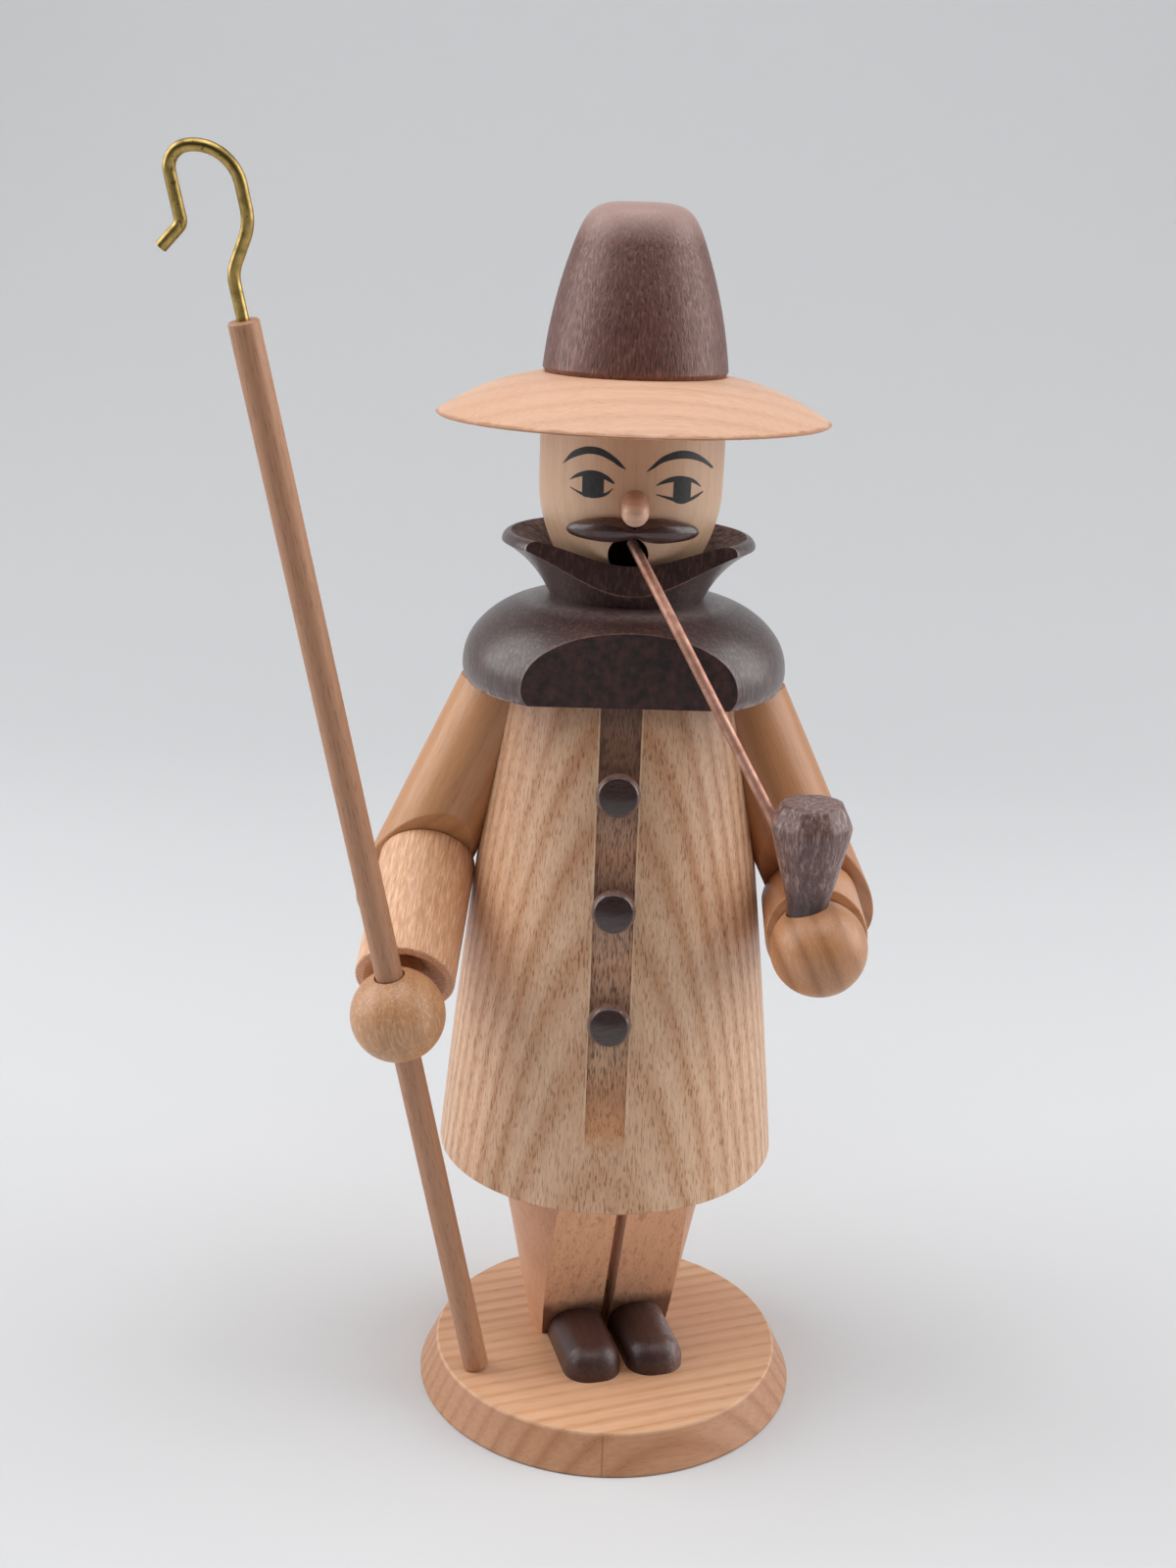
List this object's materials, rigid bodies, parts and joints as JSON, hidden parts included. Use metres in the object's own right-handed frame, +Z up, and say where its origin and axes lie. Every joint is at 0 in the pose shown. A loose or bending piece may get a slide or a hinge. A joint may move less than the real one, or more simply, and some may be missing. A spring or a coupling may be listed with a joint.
{
  "type": "incense smoker figure",
  "caption": "Turned wooden incense smoker figure with crook and pipe on a round base; the hollow coat lifts off the legs to reach the incense dish, and the smoke leaves by the mouth.",
  "frame": {"origin": "on the base plate's flat underside, 1.7 mm left of its middle, in the plane that halves the coat", "axes": "+Z up along the figure's axis, the coat's button strip faces -Y, the staff hand is on the -X side"},
  "size_m": [0.125, 0.0948, 0.2376],
  "materials": {
    "ash_base": "clear matt lacquer",
    "beech_legs": "clear matt lacquer",
    "beech_dowel": "bare",
    "dark_stained_wood": "dark brown stain under satin lacquer",
    "dish_brass": "pressed sheet",
    "ash_coat": "clear matt lacquer",
    "pale_head_wood": "clear matt lacquer, painted face",
    "nose_wood": "clear lacquer",
    "beech_brim": "clear matt lacquer",
    "crown_stained_wood": "dark brown stain, dull",
    "arm_wood": "clear satin lacquer",
    "staff_wood": "clear matt lacquer",
    "hook_brass": "drawn wire, dulled",
    "stem_copper": "drawn copper wire, dulled"
  },
  "bodies": {
    "base": {"base_plate": "ash_base", "leg_block": "beech_legs", "leg_dowel": "beech_dowel", "left_shoe": "dark_stained_wood", "right_shoe": "dark_stained_wood"},
    "dish": {"incense_dish": "dish_brass"},
    "figure": {"coat": "ash_coat", "button_top": "dark_stained_wood", "button_middle": "dark_stained_wood", "button_bottom": "dark_stained_wood", "cape": "dark_stained_wood", "head": "pale_head_wood", "nose": "nose_wood", "moustache": "dark_stained_wood", "hat_brim": "beech_brim", "hat_crown": "crown_stained_wood", "hat_dowel": "beech_dowel", "staff_upper_arm": "arm_wood", "pipe_upper_arm": "arm_wood", "staff_forearm": "arm_wood", "pipe_forearm": "arm_wood", "staff_hand": "arm_wood", "pipe_hand": "arm_wood", "staff_shoulder_dowel": "beech_dowel", "pipe_shoulder_dowel": "beech_dowel", "staff_elbow_dowel": "beech_dowel", "pipe_elbow_dowel": "beech_dowel", "pipe_bowl": "dark_stained_wood", "pipe_stem": "stem_copper"},
    "staff": {"staff_rod": "staff_wood", "staff_hook": "hook_brass"}
  },
  "joints": [
    {"name": "figure_turn", "type": "hinge", "parent": "base", "child": "dish", "pos_m": [0, 0.007, 0.0575], "axis": [0, 0, 1], "continuous": true},
    {"name": "figure_lift", "type": "slide", "parent": "dish", "child": "figure", "axis": [0, 0, 1], "range_m": [0, 0.08]},
    {"name": "staff_slide", "type": "slide", "parent": "figure", "child": "staff", "axis": [-0.1758, -0.1531, 0.9724], "range_m": [0, 0.085]}
  ]
}
